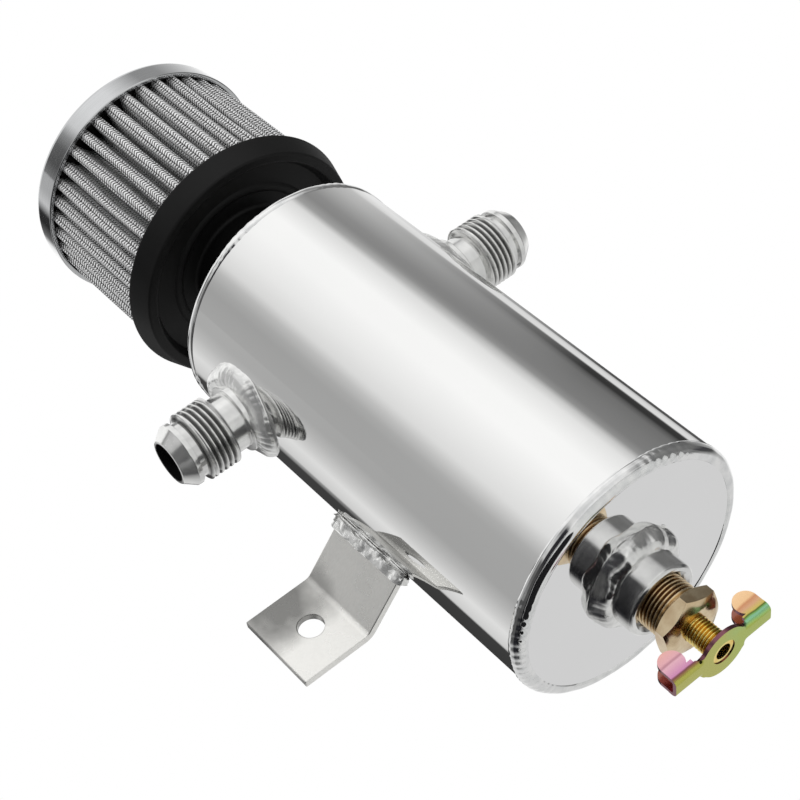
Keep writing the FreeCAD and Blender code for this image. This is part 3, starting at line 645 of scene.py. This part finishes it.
def addSlab(bm, low, high):  # sheet-thick box between two corners of the flat blank
    bmesh.ops.create_cube(bm, size=1, matrix=Matrix.Translation((
        (low[0] + high[0]) / 2, (low[1] + high[1]) / 2, wing["sheet"] / 2,
    )) @ Matrix.Diagonal((high[0] - low[0], high[1] - low[1], wing["sheet"], 1)))


def addDisc(bm, x, y, radius, depth):
    bmesh.ops.create_cone(
        bm, cap_ends=True, segments=96, radius1=radius, radius2=radius, depth=depth,
        matrix=Matrix.Translation((x, y, wing["sheet"] / 2)),
    )


def makeWing():  # cut flat and then folded, as it is stamped
    arm, sheet, fold, end = wing["arm"], wing["sheet"], wing["fold"], wing["halfSpan"]
    middle, ear = wing["earMiddle"], wing["earRadius"]
    neutral = fold - sheet / 2
    rolled = neutral * math.pi / 2
    foot, earCentre = (
        arm - fold + rolled + height - fold for height in (wing["footHeight"], wing["earHeight"] - ear)
    )
    lean, rise = wing["hub"] + wing["waist"], arm + wing["waist"]
    across = math.sqrt(lean ** 2 - rise ** 2)
    blank, waist, corners, feet, fills, ears, hub, hole = (bmesh.new() for _ in range(8))
    addSlab(blank, (-end, -arm), (end, arm))
    addSlab(waist, (-across, -rise * wing["hub"] / lean), (across, rise * wing["hub"] / lean))
    for side in (-1, 1):
        inner = side * wing["footStart"]
        addSlab(feet, (min(inner, side * end), -foot), (max(inner, side * end), foot))
        outer = side * (middle + ear)
        addSlab(fills, (min(side * middle, outer), -earCentre), (max(side * middle, outer), earCentre))
        for way in (-1, 1):
            addDisc(corners, side * across, way * rise, wing["waist"], 3 * sheet)
            addDisc(ears, side * middle, way * earCentre, ear, sheet)
    addDisc(hub, 0, 0, wing["hub"], sheet)
    addDisc(hole, 0, 0, wing["hole"], 3 * sheet)
    waist = combine(waist, corners, "DIFFERENCE")
    for piece in (waist, hub, feet, fills, ears):
        blank = combine(blank, piece, "UNION")
    bm = combine(blank, hole, "DIFFERENCE")
    bmesh.ops.remove_doubles(bm, verts=bm.verts, dist=0.02)
    bmesh.ops.dissolve_limit(bm, angle_limit=0.005, verts=bm.verts, edges=bm.edges)
    bm.normal_update()
    sheared = bm.faces.layers.float.new("sheared")  # the cut sides of the sheet, darkened in the material as painted shade
    for face in bm.faces:
        face[sheared] = 1.0 if abs(face.normal.z) < 0.5 else 0.0
    for start, width, count, normal in (  # rows of edges for the bend, then for its soft start
        (arm - fold, rolled, wing["foldRows"], Vector((0, 1, 0))),
        (wing["foldStart"], wing["foldEnd"] - wing["foldStart"], wing["foldColumns"], Vector((1, 0, 0))),
    ):
        for side in (-1, 1):
            for row in range(count + 1):
                bmesh.ops.bisect_plane(
                    bm, geom=bm.verts[:] + bm.edges[:] + bm.faces[:],
                    plane_co=normal * (side * (start + width * row / count)), plane_no=normal,
                )
    bmesh.ops.triangulate(bm, faces=[face for face in bm.faces if len(face.verts) > 4])
    for vert in bm.verts:
        run = abs(vert.co.y) - (arm - fold)
        reach = min(max((abs(vert.co.x) - wing["foldStart"]) / (wing["foldEnd"] - wing["foldStart"]), 0), 1)
        if run <= 0 or reach == 0:
            continue
        turn = min(run / neutral, math.pi / 2)
        bent = Vector((
            math.copysign(arm - fold + (fold - vert.co.z) * math.sin(turn), vert.co.y),
            fold - (fold - vert.co.z) * math.cos(turn) + max(run - rolled, 0),
        ))
        vert.co.yz = vert.co.yz.lerp(bent, reach * reach * (3 - 2 * reach))
    bmesh.ops.translate(bm, vec=(0, 0, wing["face"]), verts=bm.verts)
    finishPiece(bm, "drainWing", wingZinc, ["drain_wing"], body="stem", soften=0.18)


makeBung()
makeBungBead()
makeCock()
makeStem()
makeWing()
print("drain made")


# Bracket

bracketBead = {
    "voxel": 0.35, "smoothings": 3, "thin": 1.4, "lump": 0.8, "crumb": 0.3, "lumpScale": 0.3,
    "crumbScale": 0.5,
}


def makeBracketBead():
    work = makeObject(mergedCopy("bracket_weld", 2.0), "work")
    remesh = work.modifiers.new("Remesh", "REMESH")
    remesh.mode = "VOXEL"
    remesh.voxel_size = bracketBead["voxel"]
    bm = takeResult(work)
    for _ in range(bracketBead["smoothings"]):
        bmesh.ops.smooth_vert(
            bm, verts=bm.verts, factor=0.5, use_axis_x=True, use_axis_y=True, use_axis_z=True,
        )
    bm.normal_update()
    for vert in bm.verts:
        blob = noise.noise(vert.co * bracketBead["lumpScale"])
        crumb = noise.noise(vert.co * bracketBead["crumbScale"])
        rise = bracketBead["lump"] * blob + bracketBead["crumb"] * crumb - bracketBead["thin"]
        vert.co += vert.normal * rise
    finishPiece(bm, "bracketBead", paleBeadMetal, ["bracket_weld"], edgeAngle=80)


finishPiece(
    mergedCopy("mount_bracket"), "mountBracket", stripMetal, ["mount_bracket"], soften=0.3,
)
makeBracketBead()
print("bracket made")


# Filter

neck = {"outer": 16.0, "inner": 14.0, "low": 147.0, "high": 172.0}
neckBead = {"leg": 2.5, "count": 36, "ripple": 0.25, "lump": 0.15}
base = {"bore": 16.05, "sleeve": 19.0, "low": 153.5, "ceiling": 174.3, "ridge": 26.0, "lip": 170.5,
        "lipInner": 36.4, "lipOuter": 39.4, "rim": 41.9, "top": 178.5}
media = {"radius": 38.8, "depth": 9.8, "low": 178.5, "high": 228.5, "sheet": 1.2, "pleats": 39, "crest": 1.8,
         "valley": 0.6, "perPleat": 24, "levels": 16, "wobble": 0.35, "lanes": 9, "stitch": 1.15}
endCap = {"mouth": 227.0, "mouthRadius": 40.3, "top": 236.6, "topRadius": 39.9, "corner": 2.2, "sheet": 0.8,
          "hem": 0.6}
band = {"inner": 19.05, "thickness": 0.7, "low": 156.5, "width": 9.0}


def makeNeck():
    bm = lathe([
        (neck["inner"], neck["low"]), (neck["outer"], neck["low"]), (neck["outer"], neck["high"]),
        (neck["inner"], neck["high"]),
    ], rounds=[(2, 0.3, 2), (3, 0.3, 2)])
    finishPiece(bm, "filterNeck", bungMetal, ["filter_neck"])
    outer, leg, top = neck["outer"], neckBead["leg"], tank["length"]
    bead = lathe([
        (outer - 0.05, top), (outer + leg, top), (outer + leg * 0.75, top + leg * 0.75),
        (outer - 0.05, top + leg),
    ], steps=288, cuts=[(1, 4), (2, 4)])
    rippleBead(bead, (outer, top), neckBead["count"], neckBead["ripple"], neckBead["lump"], seed=6.0)
    for vert in bead.verts:
        vert.co.z = max(vert.co.z, top)
    finishPiece(bead, "neckBead", beadMetal, ["neck_weld"], edgeAngle=60)


def makeBase():
    roof, ridge, lip = base["ceiling"], base["ridge"], base["lip"]
    bm = lathe([
        (base["bore"], base["low"]), (base["sleeve"], base["low"]), (base["sleeve"], roof),
        (ridge - 1.6, roof), (ridge - 0.6, roof - 0.75), (ridge + 0.6, roof - 0.75), (ridge + 1.6, roof),
        (base["lipInner"] - 1.9, roof), (base["lipInner"], lip), (base["lipOuter"], lip),
        (base["rim"], base["top"]), (base["bore"], base["top"]),
    ], steps=192, rounds=[
        (2, 1.2, 4), (4, 0.5, 3), (5, 0.5, 3), (8, 0.6, 4), (9, 0.7, 4), (10, 0.7, 4), (1, 0.4, 3),
    ])
    finishPiece(bm, "filterBase", baseRubber, ["filter_base"])


def pleatPath():
    # half a pleat from crest to valley: (across, out) points and the length run so far
    half = math.pi / media["pleats"]
    crestOut = media["radius"] - media["crest"]
    valleyOut = media["radius"] - media["depth"] + media["valley"] + media["sheet"]
    across, inward = valleyOut * math.sin(half), crestOut - valleyOut * math.cos(half)
    lean = math.acos((media["crest"] + media["valley"]) / math.hypot(across, inward))
    crestTurn = math.atan2(across, -inward) - lean
    valleyTurn = crestTurn + math.pi - half
    points = []
    steps = media["perPleat"] // 2
    crestSteps = steps // 2
    valleySteps = steps - crestSteps - 1
    for step in range(crestSteps + 1):
        turn = crestTurn * step / crestSteps
        points.append(Vector((crestOut + media["crest"] * math.cos(turn), media["crest"] * math.sin(turn))))
    centre = Vector((valleyOut * math.cos(half), valleyOut * math.sin(half)))
    for step in range(valleySteps + 1):
        turn = half + valleyTurn + (math.pi - valleyTurn) * step / valleySteps
        points.append(centre + media["valley"] * Vector((math.cos(turn), math.sin(turn))))
    return points


def makeMedia():
    half = math.pi / media["pleats"]
    height = media["high"] - media["low"]
    path = pleatPath()
    cosine, sine = math.cos(2 * half), math.sin(2 * half)
    mirrored = [Vector((p.x * cosine + p.y * sine, p.x * sine - p.y * cosine)) for p in reversed(path[1:-1])]
    pleat = path + mirrored
    count = len(pleat)
    bm = bmesh.new()
    ring = bmesh.ops.create_circle(bm, segments=count * media["pleats"], radius=media["radius"])["verts"]
    run, total = [], 0.0
    for index, vert in enumerate(ring):
        point = pleat[index % count]
        turned = Matrix.Rotation(2 * half * (index // count), 2) @ point
        if index:
            total += (turned - ring[index - 1].co.xy).length
        vert.co = (turned.x, turned.y, media["low"])
        run.append(total)
    total += (ring[0].co.xy - ring[-1].co.xy).length
    lengths = dict(zip(((round(v.co.x, 4), round(v.co.y, 4)) for v in ring), run))
    edges = bm.edges[:]
    for _ in range(media["levels"]):
        grown = bmesh.ops.extrude_edge_only(bm, edges=edges)["geom"]
        raised = [item for item in grown if isinstance(item, bmesh.types.BMVert)]
        bmesh.ops.translate(bm, vec=(0, 0, height / media["levels"]), verts=raised)
        edges = [item for item in grown if isinstance(item, bmesh.types.BMEdge)]
        edges = [edge for edge in edges if abs(edge.verts[0].co.z - edge.verts[1].co.z) < 1e-4]
    uvLayer = bm.loops.layers.uv.new("UVMap")
    lanes = media["lanes"] * media["pleats"]  # whole columns close the knit, one on each crest
    for face in bm.faces:
        along = [lengths[round(loop.vert.co.x, 4), round(loop.vert.co.y, 4)] for loop in face.loops]
        for loop, spot in zip(face.loops, along):
            if max(along) - spot > total / 2:
                spot += total
            loop[uvLayer].uv = (spot / total * lanes + 0.5, (loop.vert.co.z - media["low"]) / media["stitch"])
    for vert in bm.verts:  # the folds wander a little between their two bonded ends
        rise = (vert.co.z - media["low"]) / height
        free = math.sin(math.pi * rise)
        turn = math.atan2(vert.co.y, vert.co.x)
        sway = noise.noise(Vector((turn * 9, rise * 1.3, 4.0))) * media["wobble"] * free
        vert.co.xy = Matrix.Rotation(sway / media["radius"] * 2.5, 2) @ vert.co.xy
    piece = finishPiece(bm, "filterMedia", gauze, ["filter_media"], edgeAngle=70)
    wall = piece.modifiers.new("Sheet", "SOLIDIFY")
    wall.thickness = media["sheet"] * 0.001
    wall.offset = -1
    piece.modifiers.move(piece.modifiers.find("Sheet"), 0)


def makeEndCapPressing():
    mouth, top, sheet, hem = endCap["mouth"], endCap["top"], endCap["sheet"], endCap["hem"]
    outer, upper = endCap["mouthRadius"], endCap["topRadius"]
    bm = lathe([
        (outer - hem - sheet, mouth), (outer, mouth), (upper, top), (0, top), (0, top - sheet),
        (upper - sheet, top - sheet), (outer - sheet - 0.05, mouth + sheet),
        (outer - hem - sheet, mouth + sheet),
    ], steps=192, rounds=[
        (1, 0.45, 4), (2, endCap["corner"], 8), (5, endCap["corner"] - sheet, 4), (0, 0.2, 2),
    ])
    finishPiece(bm, "filterEndCap", capChrome, ["filter_end_cap"])


def makeClamp():
    outer = band["inner"] + band["thickness"]
    bm = lathe([
        (band["inner"], band["low"]), (outer, band["low"]), (outer, band["low"] + band["width"]),
        (band["inner"], band["low"] + band["width"]),
    ], steps=144, rounds=[(1, 0.25, 2), (2, 0.25, 2)])
    finishPiece(bm, "clampBand", clampMetal, ["clamp_band"])
    for node, name in (("clamp_housing", "clampHousing"), ("clamp_screw", "clampScrew")):
        finishPiece(mergedCopy(node), name, clampMetal, [node], soften=0.15)


makeNeck()
makeBase()
makeMedia()
makeEndCapPressing()
makeClamp()
print("filter made")

for nodeName, material in (
    ("baffle_plate", baffleMetal), ("stem_seal", sealRubber), ("cap_potting", potResin),
):
    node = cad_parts[nodeName]
    node.data.materials.clear()
    node.data.materials.append(material)


# Studio: pale floor, soft lamps, and a round wall of light and grey panels that only the metal mirrors

studio = {"wallRadius": 1.5, "wallTop": 2.2, "floorHeight": -1.2, "floorSize": 8.0, "floorColour": "#e6e6e4",
          "cardPlace": (-0.79, 0.12), "cardRadius": 0.8, "panelGlow": 1.12, "worldColour": "#f4f5f7",
          "worldGlow": 0.62, "aimHeight": 0.05}
wallFoot = {  # direction in degrees to panel colour
    -180: "#b0b0b0", -150: "#a0a0a0", -124: "#c0c0c0", -114: "#e8e8e8", -95: "#f4f4f4", -50: "#d8d8d8",
    -38: "#747474", -4: "#747474", 8: "#8a8a8a", 24: "#808080", 34: "#d1d1d1", 98: "#d1d1d1",
    128: "#a0a0a0", 138: "#4a4a4a", 156: "#5a5a5a", 168: "#a0a0a0",
}
wallSill = {  # mirrored by the end cap and by what the cap mirrors
    -180: "#141418", -120: "#1c1c20", -111: "#e0e0e0", -95: "#f4f4f4", -50: "#d8d8d8", -38: "#747474",
    -4: "#747474", 10: "#848484", 20: "#6c6c6c", 28: "#8c8c8c", 38: "#d1d1d1", 98: "#d1d1d1",
    114: "#b8b8b8", 132: "#1e1e22", 146: "#0e0e12",
}
wallBelt = {
    -180: "#545454", -162: "#484848", -150: "#343436", -128: "#2c2c30", -119: "#343438", -110: "#dcdcdc",
    -60: "#e4e4e4", -44: "#808080", 8: "#6c6c6c", 14: "#404044", 21: "#484848", 29: "#a0a0a0",
    37: "#d0d0d0", 112: "#d0d0d0", 126: "#8c8c8c", 138: "#2c2c30", 154: "#1c1c20", 168: "#4c4c4c",
}
wallMiddle = {
    -180: "#8a8a8a", -162: "#606060", -152: "#6c6c6c", -145: "#c4c4c4", -134: "#d0d0d0", -126: "#8a8a8a",
    -116: "#a8a8a8", -108: "#e4e4e4", -58: "#f2f2f2", -42: "#a4a4a4", -30: "#747474", 4: "#686868",
    22: "#a8a8a8", 34: "#eaeaea", 90: "#dcdcdc", 112: "#d4d4d4", 128: "#c0c0c0", 138: "#787878",
    146: "#545454", 156: "#545454",
}
wallLow = {  # seen in the can near its lower end
    -180: "#a4a4a4", -158: "#a6a6a6", -150: "#aeaeae", -141: "#c8c8c8", -133: "#dfdfdf", -116: "#ebebeb",
    -91: "#fbfbfb", -70: "#fafafa", -49: "#e6e6e6", -42: "#cacaca", -37: "#929292", -30: "#7e7e7e",
    -16: "#787878", -2: "#707070", 5: "#585858", 9: "#343434", 18: "#383838", 21: "#dadada",
    29: "#d6d6d6", 35: "#b8b8b8", 38: "#464646", 52: "#5c5c5c", 62: "#343434", 114: "#3c3c3c",
    117: "#cdcdcd", 135: "#e0e0e0", 144: "#cecece", 156: "#b8b8b8", 168: "#a4a4a4",
}
wallHigh = {  # seen near its upper end
    -180: "#a6a6a6", -158: "#a0a0a0", -150: "#a8a8a8", -141: "#bababa", -133: "#dadada", -116: "#ebebeb",
    -91: "#f8f8f8", -70: "#fafafa", -49: "#dcdcdc", -43: "#a0a0a0", -33: "#888888", -24: "#8e8e8e",
    -16: "#9c9c9c", -8: "#a8a8a8", 0: "#b2b2b2", 16: "#bebebe", 22: "#d6d6d6", 33: "#e2e2e2",
    50: "#e2e2e2", 58: "#8c8c8c", 66: "#3c3c3c", 108: "#404040", 112: "#b4b4b4", 116: "#cacaca",
    135: "#dcdcdc", 144: "#cecece", 156: "#bababa", 168: "#acacac",
}
wallTop = {  # seen in the filter's cap
    -180: "#868686", -166: "#5b5b5b", -148: "#686868", -136: "#a0a0a0", -124: "#efefef", -103: "#ffffff",
    -78: "#ffffff", -61: "#dfdfdf", -42: "#a4a4a4", -19: "#a6a6a6", 2: "#cccccc", 22: "#e8e8e8",
    42: "#fdfdfd", 96: "#fdfdfd", 108: "#777777", 126: "#303030", 138: "#343434", 150: "#e3e3e3",
    164: "#c4c4c4",
}
wallPanels = [  # heights in metres between which each set takes over from the one below
    (-1.2, -1.1, wallSill), (-1.07, -1.04, wallFoot), (-0.96, -0.93, wallSill), (-0.72, -0.64, wallBelt),
    (-0.04, 0.08, wallMiddle), (0.655, 0.685, wallLow), (0.87, 1.3, wallHigh), (1.58, 1.7, wallTop),
]


def makeWallPaint():
    material = bpy.data.materials.new("StudioPanels")
    material.use_nodes = True
    tree = material.node_tree
    tree.nodes.remove(tree.nodes["Principled BSDF"])
    where = addNode(tree, "TexCoord").outputs["Object"]
    centred = addNode(tree, "Mapping", inputs={"Vector": where, "Location": (-axisX, -axisY, 0)}).outputs[0]
    parts = addNode(tree, "SeparateXYZ", inputs={"Vector": centred})
    turn = addNode(tree, "Math", {"operation": "ARCTAN2"}, {
        0: parts.outputs[1], 1: parts.outputs[0],
    }).outputs[0]
    around = addNode(tree, "MapRange", inputs={"Value": turn, 1: -math.pi, 2: math.pi}).outputs[0]
    mixed = None
    for start, end, stops in wallPanels:
        ramp = addNode(tree, "ValToRGB", inputs={"Fac": around})
        setRamp(ramp, {(angle + 180) / 360: colour for angle, colour in stops.items()})
        rise = addNode(tree, "MapRange", inputs={"Value": parts.outputs[2], 1: start, 2: end}).outputs[0]
        mixed = ramp.outputs[0] if mixed is None else addNode(
            tree, "Mix", {"data_type": "RGBA"}, {0: rise, 6: mixed, 7: ramp.outputs[0]}
        ).outputs[2]
    glow = addNode(tree, "Emission", inputs={"Color": mixed, "Strength": studio["panelGlow"]})
    tree.links.new(glow.outputs[0], tree.nodes["Material Output"].inputs["Surface"])
    return material


def mattPaint(name, roughness, scale, dark, light):
    # Matt studio paint: plain, with a faint cloud in it
    material, tree, shader, where = startMaterial(name, Roughness=roughness)
    cloud = addNode(tree, "TexNoise", inputs={"Vector": where, "Scale": scale}).outputs["Fac"]
    ramp = addNode(tree, "ValToRGB", inputs={"Fac": cloud})
    setRamp(ramp, {0.3: dark, 0.7: light})
    tree.links.new(ramp.outputs[0], shader.inputs["Base Color"])
    return material


def makeStudio():
    wall = bmesh.new()
    ring = bmesh.ops.create_circle(wall, segments=96, radius=studio["wallRadius"])["verts"]
    bmesh.ops.translate(wall, vec=(axisX, axisY, studio["floorHeight"]), verts=ring)
    grown = bmesh.ops.extrude_edge_only(wall, edges=wall.edges[:])["geom"]
    bmesh.ops.translate(
        wall, vec=(0, 0, studio["wallTop"] - studio["floorHeight"]),
        verts=[item for item in grown if isinstance(item, bmesh.types.BMVert)],
    )
    floor = bmesh.new()
    bmesh.ops.create_grid(floor, x_segments=1, y_segments=1, size=studio["floorSize"] / 2)
    bmesh.ops.translate(floor, vec=(axisX, axisY, studio["floorHeight"]), verts=floor.verts)
    card = bmesh.new()
    bmesh.ops.create_circle(card, cap_ends=True, segments=64, radius=studio["cardRadius"])
    cardX, cardY = studio["cardPlace"]
    lift = studio["floorHeight"] + 0.005
    bmesh.ops.translate(card, vec=(axisX + cardX, axisY + cardY, lift), verts=card.verts)
    floorPaint = mattPaint("PaleStudioFloor", 0.9, 3.0, studio["floorColour"], "#eaeae8")
    cardPaint = mattPaint("BlackStudioCard", 0.95, 40.0, "#0b0b0e", "#131316")
    for bm, name, material in (
        (wall, "studioWall", makeWallPaint()), (floor, "studioFloor", floorPaint),
        (card, "studioCard", cardPaint),
    ):
        stage = makeObject(bm, name)
        stage.data.materials.append(material)
        if name != "studioFloor":  # the metal mirrors it, and it neither shows nor lights anything else
            stage.visible_camera = stage.visible_diffuse = stage.visible_shadow = False
            stage.visible_transmission = stage.visible_volume_scatter = False


def makeWorld():
    world = bpy.data.worlds.new("SoftStudio")
    bpy.context.scene.world = world
    world.use_nodes = True
    tree = world.node_tree
    seen = addNode(tree, "LightPath").outputs
    either = addNode(tree, "Math", {"operation": "MAXIMUM"}, {
        0: seen["Is Camera Ray"], 1: seen["Is Glossy Ray"],
    }).outputs[0]
    shown = addNode(tree, "Math", {"operation": "MAXIMUM"}, {
        0: either, 1: seen["Is Transmission Ray"],
    }).outputs[0]
    lit = addNode(tree, "Background", inputs={
        "Color": linear(studio["worldColour"]), "Strength": studio["worldGlow"],
    })
    white = addNode(tree, "Background", inputs={"Color": (1, 1, 1, 1), "Strength": 1.0})
    mixed = addNode(tree, "MixShader", inputs={0: shown, 1: lit.outputs[0], 2: white.outputs[0]})
    tree.links.new(mixed.outputs[0], tree.nodes["World Output"].inputs["Surface"])


lamps = {  # place, width in metres, watts
    "keyLamp": ((-0.9, -1.1, 1.0), 0.9, 16.0),
    "fillLamp": ((1.2, -0.5, 0.2), 1.2, 7.0),
    "backLamp": ((0.3, 1.3, 1.1), 1.0, 8.0),
}


def makeLamps():
    for name, (spot, width, watts) in lamps.items():
        lamp = bpy.data.lights.new(name, "AREA")
        lamp.shape = "DISK"
        lamp.size = width
        lamp.energy = watts
        holder = bpy.data.objects.new(name, lamp)
        holder.location = spot
        aim = Vector((axisX, axisY, studio["aimHeight"])) - Vector(spot)
        holder.rotation_euler = aim.to_track_quat("-Z", "Y").to_euler()
        holder.visible_glossy = False  # the panels give the metal its highlights
        bpy.context.collection.objects.link(holder)


view = {  # fitted to the rims, ports and bracket hole in the photograph
    "right": (0.76741, 0.11774, -0.63024), "up": (0.53176, -0.66603, 0.52308),
    "back": (-0.35816, -0.73655, -0.57375), "place": (-0.1400, -0.43935, -0.2926),
    "lens": 85.48, "sensor": 36.0, "near": 0.01,
}


def makeCamera():
    camera = bpy.data.objects.new("camera", bpy.data.cameras.new("camera"))
    camera.data.lens = view["lens"]
    camera.data.sensor_width = view["sensor"]
    camera.data.clip_start = view["near"]
    turned = Matrix((view["right"], view["up"], view["back"])).transposed().to_4x4()
    camera.matrix_world = Matrix.Translation(view["place"]) @ turned
    bpy.context.collection.objects.link(camera)
    bpy.context.scene.camera = camera


makeStudio()
makeWorld()
makeLamps()
makeCamera()
bpy.context.scene.view_settings.view_transform = "Standard"
print("studio made")
